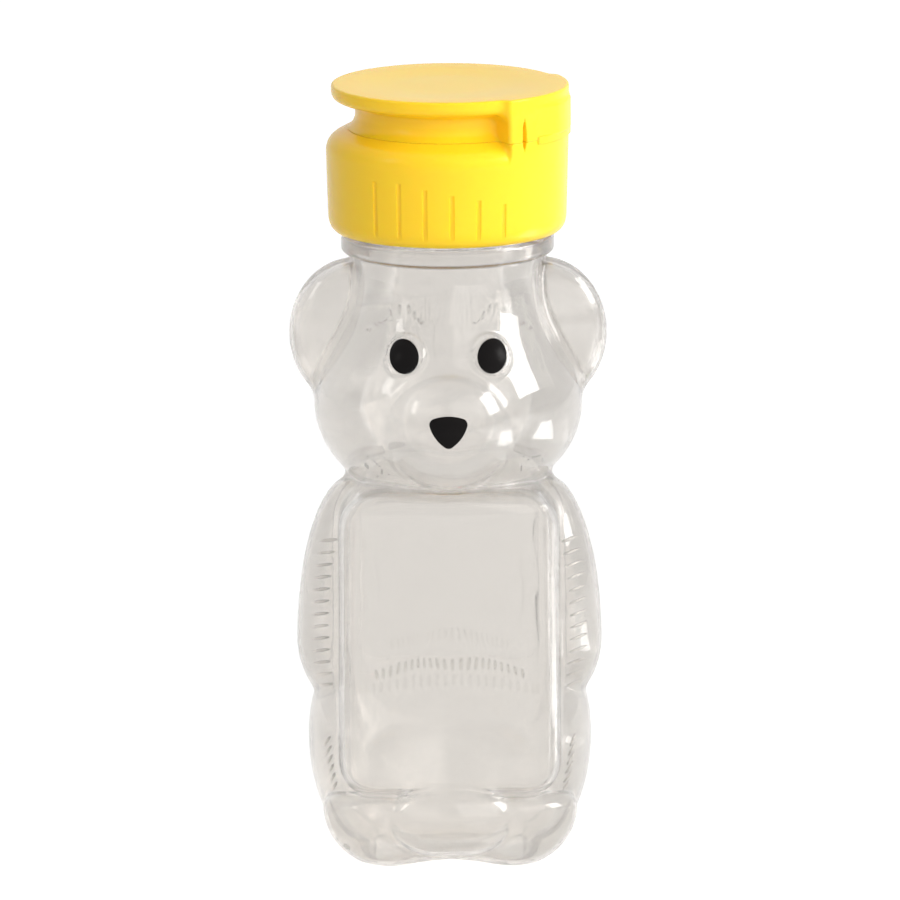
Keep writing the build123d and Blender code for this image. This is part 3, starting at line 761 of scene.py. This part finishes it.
def closure_base_field(p):
    """Skirt, shoulder, hinge seat, deck, land and spout."""
    radius = np.hypot(p[0], p[1])
    side = block_side(p)
    foot, deck, seat = mm(110.45), mm(127.5), mm(128.94)
    crown_radius, shoulder_run, recess_radius = mm(17.6), mm(3.6), mm(13.2)
    land_radius, land_z, land_half_width, land_half_height = mm(13.75), mm(129.4), mm(0.55), mm(1.2)
    spout_root, spout_tip, spout_tip_z, spout_hole = mm(4.9), mm(4.5), mm(132.4), mm(3.2)
    spout_z, spout_half_height = mm(129.6), mm(2.8)
    bore_radius, bore_top = mm(19.0), mm(125.7)
    cone = np.interp(p[2], [SKIRT_FOOT_Z, SHOULDER_Z], [SKIRT_FOOT_RADIUS, SHOULDER_RADIUS])
    slope = (seat - SHOULDER_Z) / shoulder_run
    drop = slope * np.maximum(radius - crown_radius, 0)
    shoulder = (p[2] - seat + drop) * math.cos(math.atan(slope))
    block = meet(p[2] - seat, side, mm(0.1))
    top = np.maximum(join(shoulder, block, mm(0.8)), p[2] - seat)
    in_block = 1 - fade(side, mm(-0.8), mm(0.2))
    form = meet(radius - cone, top, mm(2.0) - mm(1.9) * in_block)
    form = meet(form, foot - p[2], mm(3.2))
    form = meet(form, -meet(radius - recess_radius, deck - p[2], mm(0.4)), mm(0.3))
    land = rounded_rectangle(radius - land_radius, p[2] - land_z, land_half_width, land_half_height,
                             mm(0.3))
    form = join(form, land, mm(0.2))
    spout_radius = np.interp(p[2], [deck, spout_tip_z], [spout_root, spout_tip])
    spout_ends = np.abs(p[2] - spout_z) - spout_half_height
    form = join(form, meet(radius - spout_radius, spout_ends, mm(0.4)), mm(0.6))
    form = meet(form, spout_hole - radius, mm(0.4))
    bore = meet(radius - bore_radius, p[2] - bore_top, mm(0.6))
    form = meet(form, -bore, mm(0.4))
    return meet(form, -slit_field(p), mm(0.2))


def flip_lid_field(p):
    """Rim disc, waist, hinge block with its pocket, pad and plug."""
    radius = np.hypot(p[0], p[1])
    angle = np.abs(hinge_angle(p))
    low, top, roof = mm(128.96), mm(136.7), mm(134.9)
    waist_radius, cove_height, cove_radius = mm(16.0), mm(2.64), mm(2.98)
    disc_radius, disc_low = mm(20.2), mm(133.9)
    dish_depth, dish_flat, dish_edge = mm(0.35), mm(8.0), mm(18.5)
    hollow_radius, pocket_radius, pocket_half_width = mm(14.8), mm(18.0), mm(2.0)
    plug_low, plug_tip, plug_root, plug_overlap = mm(130.0), mm(2.7), mm(3.0), mm(0.4)
    pad_radius, pad_z, pad_half_width, pad_half_height = mm(20.45), mm(132.0), mm(0.6), mm(2.9)
    pad_rise = mm(0.75)
    below = np.clip(low + cove_height - p[2], 0, cove_height)
    flare = cove_radius - np.sqrt(cove_radius ** 2 - below ** 2)
    waist = radius - waist_radius - flare
    block = meet(radius - SHOULDER_RADIUS, block_side(p), mm(0.8))
    disc = meet(radius - disc_radius, disc_low - p[2], mm(1.8))
    form = join(join(waist, block, mm(1.3)), disc, mm(1.9))
    dish = dish_depth * (1 - fade(radius, dish_flat, dish_edge))
    form = meet(form, p[2] - top + dish, mm(0.5))
    form = meet(form, low - p[2], mm(0.05))
    hollow = meet(radius - hollow_radius, p[2] - roof, mm(0.8))
    form = meet(form, -hollow, mm(0.3))
    slot = np.abs(radius - pocket_radius) - pocket_half_width
    pocket = meet(slot, (angle - math.radians(37.5)) * radius, mm(0.5))
    form = meet(form, -meet(pocket, p[2] - roof, mm(0.5)), mm(0.3))
    taper = np.interp(p[2], [plug_low, roof], [plug_tip, plug_root])
    plug = meet(radius - taper, plug_low - p[2], mm(0.5))
    form = join(form, meet(plug, p[2] - roof - plug_overlap, mm(0.2)), mm(0.5))
    proud = pad_rise * (1 - fade(angle, math.radians(8.0), math.radians(25.0)))
    pad = rounded_rectangle(radius - pad_radius - proud, p[2] - pad_z, pad_half_width, pad_half_height,
                            mm(0.5))
    form = join(form, meet(pad, (angle - PAD_HALF_ANGLE) * radius, mm(0.2)), mm(0.5))
    return meet(form, -slit_field(p), mm(0.2))


def hinge_film(material):
    """The thin film of the hinge, across the parting line."""
    around, up = 33, 17
    low, high, radius, edge, swell = mm(128.21), mm(129.56), mm(21.25), mm(0.02), mm(0.33)
    angles = HINGE_BEARING + np.linspace(-PAD_HALF_ANGLE, PAD_HALF_ANGLE, around)
    heights = np.linspace(low, high, up)
    angle, height = (g.ravel() for g in np.meshgrid(angles, heights, indexing="ij"))
    inner = np.full(angle.shape, radius)
    outer = inner + edge + swell * (1 - ((angle - HINGE_BEARING) / PAD_HALF_ANGLE) ** 8)
    points = np.concatenate([np.stack([r * np.cos(angle), r * np.sin(angle), height], 1)
                             for r in (outer, inner)])
    count = around * up
    faces = []
    for i in range(around - 1):
        for j in range(up - 1):
            a = i * up + j
            quad = (a, a + up, a + up + 1, a + 1)
            faces.append(quad)
            faces.append(tuple(count + k for k in reversed(quad)))
    rim = list(range(up)) + [i * up + up - 1 for i in range(1, around)]
    rim += [count - up + j for j in range(up - 2, -1, -1)] + [i * up for i in range(around - 2, 0, -1)]
    for a, b in zip(rim, rim[1:] + rim[:1]):
        faces.append((a, b, b + count, a + count))
    mesh = bpy.data.meshes.new("living_hinge")
    mesh.from_pydata(points.tolist(), [], faces)
    return finish_mesh("living_hinge", mesh, material)


class BuildBottle(bpy.types.Operator):
    """Blow the clear bottle in the shape of a sitting bear"""
    bl_idname = "honey_bear.build_bottle"
    bl_label = "Bottle"

    def execute(self, context):
        s = context.scene.honey_bear_bottle
        spare = 2 * s.mesh_step
        low = [c - spare for c in BODY_LOW]
        high = [c + spare for c in BODY_HIGH]
        piece = field_piece("clear_bottle", lambda p: bottle_field(p, s), low, high, s.mesh_step,
                            blown_pet(s))
        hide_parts("bottle_shell")
        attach(piece, "bottle")
        return {"FINISHED"}


class GrowFur(bpy.types.Operator):
    """Raise the strands of fur on the arms, the legs, the back of the head and the back"""
    bl_idname = "honey_bear.grow_fur"
    bl_label = "Moulded fur"

    def execute(self, context):
        s = context.scene.honey_bear_bottle
        bottle = bpy.data.objects["clear_bottle"]
        material = bottle.data.materials[0]
        tree = fur_tree()
        back, front, far = (0.0, -1.0, 0.0), (0.0, 1.0, 0.0), 45.0
        level, upright = (1.0, 0.0, 0.0), (0.0, 0.0, 1.0)
        # A row has the start, middle and end of its curve, its number of strands, the way that they
        # drop onto the bottle, and the way across, the length and the lean of a strand
        rows = [((-12.8, far, 28.0), (0, far, 31.2), (12.8, far, 28.0), 22, back, level, 1.9, 0.0)]
        for side in (-1, 1):
            rows += [
                ((14.6 * side, far, 90.6), (11.5 * side, far, 93.6), (8.6 * side, far, 92.6), 6, back, level,
                 2.0, 0.5 * side),
                ((10.0 * side, far, 95.4), (7.0 * side, far, 97.6), (4.6 * side, far, 91.6), 6, back, level,
                 2.0, 0.25 * side),
                ((21.6 * side, -far, 32.0), (23.8 * side, -far, 45.0), (21.0 * side, -far, 57.5), 13, front,
                 upright, 4.2, 0.2),
                ((20.2 * side, -far, 14.5), (21.0 * side, -far, 18.5), (21.4 * side, -far, 22.5), 6, front,
                 upright, 3.0, 0.8)]
        for number, (start, middle, end, count, toward, across, length, lean) in enumerate(rows):
            piece = grown(plain_piece(f"fur_row_{number + 1}"), tree, {
                "Bottle": bottle, "Start": [mm(c) for c in start], "Middle": [mm(c) for c in middle],
                "End": [mm(c) for c in end], "Count": count, "Toward": toward, "Across": across,
                "Length": mm(length), "Width": s.fur_width, "Rise": s.fur_rise, "Lean": lean,
                "Material": material})
            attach(piece, "bottle")
        return {"FINISHED"}


class PrintFace(bpy.types.Operator):
    """Print the eyes and the nose"""
    bl_idname = "honey_bear.print_face"
    bl_label = "Printed eyes and nose"

    def execute(self, context):
        ink = printed_ink(context.scene.honey_bear_bottle)
        for name in ("eye_left", "eye_right", "nose"):
            coat(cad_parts[name].data, ink)
        return {"FINISHED"}


class BuildBase(bpy.types.Operator):
    """Mould the closure base and cut its grip grooves"""
    bl_idname = "honey_bear.build_base"
    bl_label = "Closure base"

    def execute(self, context):
        s = context.scene.honey_bear_closure
        yellow = moulded_polypropylene(s)
        spare = 2 * s.mesh_step
        base = field_piece("closure_skirt", closure_base_field, [c - spare for c in BASE_LOW],
                           [c + spare for c in BASE_HIGH], s.mesh_step, yellow, most=110000)
        draft = (SHOULDER_RADIUS - SKIRT_FOOT_RADIUS) / (SHOULDER_Z - SKIRT_FOOT_Z)
        grown(base, groove_tree(), {
            "Count": s.groove_count, "Pitch": s.groove_pitch, "Width": s.groove_width,
            "Depth": s.groove_depth, "Radius": SKIRT_FOOT_RADIUS, "Draft": draft, "Top": mm(122.3),
            "Bottom": mm(110.2), "Step": mm(0.95), "First": math.radians(44.5),
            "Bearing": HINGE_BEARING, "Material": yellow})
        face_cuts(base, closure_base_field)
        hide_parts("closure_base")
        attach(base, "closure")
        return {"FINISHED"}


def closure_plastic():
    """The yellow polypropylene of the closure base, which the rest of the closure shares."""
    return bpy.data.objects["closure_skirt"].data.materials[0]


class BuildLid(bpy.types.Operator):
    """Mould the lid, with its hinge block and its plug"""
    bl_idname = "honey_bear.build_lid"
    bl_label = "Flip-top lid"

    def execute(self, context):
        s = context.scene.honey_bear_closure
        spare = 2 * s.mesh_step
        lid = field_piece("flip_top", flip_lid_field, [c - spare for c in LID_LOW],
                          [c + spare for c in LID_HIGH], s.mesh_step, closure_plastic())
        face_cuts(lid, flip_lid_field)
        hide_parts("flip_lid")
        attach(lid, "lid")
        return {"FINISHED"}


class BuildThread(bpy.types.Operator):
    """Run the thread round the inside of the skirt"""
    bl_idname = "honey_bear.build_thread"
    bl_label = "Inner thread"

    def execute(self, context):
        s = context.scene.honey_bear_closure
        thread = grown(plain_piece("closure_thread"), thread_tree(), {
            "Radius": mm(18.45), "Pitch": s.thread_pitch, "Turns": THREAD_TURNS, "Start": mm(114.08),
            "Root width": mm(2.0), "Crest width": mm(0.8), "Height": mm(1.4),
            "Material": closure_plastic()})
        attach(thread, "closure")
        return {"FINISHED"}


class BuildHinge(bpy.types.Operator):
    """Join the lid to the closure base with the thin hinge"""
    bl_idname = "honey_bear.build_hinge"
    bl_label = "Living hinge"

    def execute(self, context):
        strap = hinge_film(closure_plastic())
        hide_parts("hinge_strap")
        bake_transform(strap)
        return {"FINISHED"}


class LayLiner(bpy.types.Operator):
    """Give the liner under the deck its foam"""
    bl_idname = "honey_bear.lay_liner"
    bl_label = "Foam liner"

    def execute(self, context):
        coat(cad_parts["sealing_liner"].data, liner_foam(context.scene.honey_bear_closure))
        return {"FINISHED"}


def add_window(name, direction, distance, size, power, colour):
    """A soft rectangular lamp that faces the bottle from a direction."""
    lamp = bpy.data.lights.new(name, "AREA")
    lamp.shape = "RECTANGLE"
    lamp.size, lamp.size_y = size
    lamp.energy = power
    lamp.color = colour
    holder = bpy.data.objects.new(name, lamp)
    way = Vector(direction).normalized()
    chest_height = mm(75.0)
    holder.location = Vector((0, 0, chest_height)) + way * distance
    holder.rotation_euler = (-way).to_track_quat("-Z", "Y").to_euler()
    bpy.context.scene.collection.objects.link(holder)
    return holder


def backdrop_rays(tree):
    """One where a ray comes from the camera, or off or through a glossy surface."""
    path = add_node(tree, "ShaderNodeLightPath").outputs
    seen = add_node(tree, "ShaderNodeMath", {0: path["Is Camera Ray"], 1: path["Is Glossy Ray"]},
                    operation="MAXIMUM")
    return add_node(tree, "ShaderNodeMath", {0: seen, 1: path["Is Transmission Ray"]},
                    operation="MAXIMUM")


def add_camera(scene, s):
    """The camera, far off, with the scale of the photograph at the bottle."""
    camera = bpy.data.cameras.new("camera")
    holder = bpy.data.objects.new("camera", camera)
    scene.collection.objects.link(holder)
    scene.camera = holder
    back = Vector((0, -math.cos(s.elevation), math.sin(s.elevation)))
    holder.location = Vector(s.aim) + back * s.distance
    turn = (-back).to_track_quat("-Z", "Y").to_matrix() @ Matrix.Rotation(s.roll, 3, "Z")
    holder.rotation_euler = turn.to_euler()
    camera.lens = camera.sensor_width * s.distance * s.pixels_per_metre / s.image_size
    camera.clip_start, camera.clip_end = 0.5, 40.0


def add_world(scene, s):
    """Soft light from all round, and plain white where the room is seen."""
    world = bpy.data.worlds.new("pale_room")
    scene.world = world
    world.use_nodes = True
    tree = world.node_tree
    tree.nodes.clear()
    soft = add_node(tree, "ShaderNodeBackground", {"Color": tuple(s.backdrop), "Strength": s.ambient})
    plain = add_node(tree, "ShaderNodeBackground", {"Color": tuple(s.backdrop), "Strength": 1.0})
    mixed = add_node(tree, "ShaderNodeMixShader", {
        0: backdrop_rays(tree), 1: soft.outputs["Background"], 2: plain.outputs["Background"]})
    add_node(tree, "ShaderNodeOutputWorld", {"Surface": mixed.outputs["Shader"]})


def add_lamps():
    """A window on each side, a soft key light, and window light thrown up off the table."""
    add_window("window_right", (0.86, -0.20, 0.47), 0.9, (0.38, 0.44), 4.4, (1.0, 0.985, 0.96))
    add_window("window_left", (-0.75, -0.45, 0.48), 0.9, (0.12, 0.3), 0.45, (1.0, 0.99, 0.97))
    key = add_window("soft_key", (0.5, -0.75, 0.45), 1.4, (1.2, 1.2), 14.5, (1.0, 0.99, 0.975))
    key.visible_glossy = False
    pool = add_window("light_on_the_table", (1, 0, 0), 0.24, (0.2, 0.075), 0.2, (1.0, 0.99, 0.97))
    pool.location = (0.24, mm(8.0), mm(2.0))
    pool.rotation_euler = (math.pi, 0, 0)
    pool.visible_diffuse = False
    pool.visible_camera = False


def add_floor(s):
    """White paper that takes the bottle's shadow, and is as white as the room further off."""
    reach = 3.0
    mesh = bpy.data.meshes.new("floor")
    mesh.from_pydata([(-reach, -reach, 0), (reach, -reach, 0), (reach, reach, 0), (-reach, reach, 0)],
                     [], [(0, 1, 2, 3)])
    material, tree = new_material("white_paper_sweep")
    paper = add_node(tree, "ShaderNodeBsdfDiffuse", {"Color": (0.8, 0.8, 0.8, 1)})
    place = add_node(tree, "ShaderNodeTexCoord").outputs["Object"]
    away = add_node(tree, "ShaderNodeVectorMath", {0: place}, operation="LENGTH").outputs["Value"]
    share = add_node(tree, "ShaderNodeMapRange", {"Value": away, "From Min": 0.1, "From Max": 1.0,
                                                  "To Min": 0.34, "To Max": 0.66})
    lift = add_node(tree, "ShaderNodeMath", {0: backdrop_rays(tree), 1: share.outputs["Result"]},
                    operation="MULTIPLY")
    glow = add_node(tree, "ShaderNodeEmission", {"Color": tuple(s.backdrop), "Strength": lift})
    both = add_node(tree, "ShaderNodeAddShader", {0: paper.outputs["BSDF"], 1: glow.outputs["Emission"]})
    add_node(tree, "ShaderNodeOutputMaterial", {"Surface": both.outputs["Shader"]})
    floor = finish_mesh("floor", mesh, material)


class BuildStage(bpy.types.Operator):
    """Set the camera, the lamps, the backdrop and the floor"""
    bl_idname = "honey_bear.build_stage"
    bl_label = "Stage"

    def execute(self, context):
        s = context.scene.honey_bear_stage
        add_camera(context.scene, s)
        context.scene.view_settings.view_transform = "Standard"
        cycles = context.scene.cycles
        cycles.max_bounces = 24
        cycles.glossy_bounces = 12
        cycles.transmission_bounces = 24
        cycles.transparent_max_bounces = 24
        add_world(context.scene, s)
        add_lamps()
        add_floor(s)
        return {"FINISHED"}


class HoneyBearPanel(bpy.types.Panel):
    """The steps that build the bottle, in order"""
    bl_idname = "VIEW3D_PT_honey_bear"
    bl_label = "Honey Bear"
    bl_space_type = "VIEW_3D"
    bl_region_type = "UI"
    bl_category = "Honey Bear"

    def draw(self, context):
        column = self.layout.column()
        for step in STEPS:
            column.operator(step.bl_idname)


STEPS = (BuildStage, BuildBottle, GrowFur, PrintFace, BuildBase, BuildLid, BuildThread, BuildHinge,
         LayLiner)
SETTINGS = {"honey_bear_bottle": BottleSettings, "honey_bear_closure": ClosureSettings,
            "honey_bear_stage": StageSettings}


def register():
    """Adds the settings, the steps and the panel."""
    for kind in (*SETTINGS.values(), *STEPS, HoneyBearPanel):
        bpy.utils.register_class(kind)
    for name, kind in SETTINGS.items():
        setattr(bpy.types.Scene, name, PointerProperty(type=kind))


def unregister():
    """Takes them away again."""
    for name in SETTINGS:
        delattr(bpy.types.Scene, name)
    for kind in (HoneyBearPanel, *reversed(STEPS), *reversed(list(SETTINGS.values()))):
        bpy.utils.unregister_class(kind)


def main():
    """Builds the bottle step by step."""
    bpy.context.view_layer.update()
    register()
    bpy.ops.honey_bear.build_stage()
    bpy.ops.honey_bear.build_bottle()
    bpy.ops.honey_bear.grow_fur()
    bpy.ops.honey_bear.print_face()
    bpy.ops.honey_bear.build_base()
    bpy.ops.honey_bear.build_lid()
    bpy.ops.honey_bear.build_thread()
    bpy.ops.honey_bear.build_hinge()
    bpy.ops.honey_bear.lay_liner()


if __name__ == "__main__":
    main()
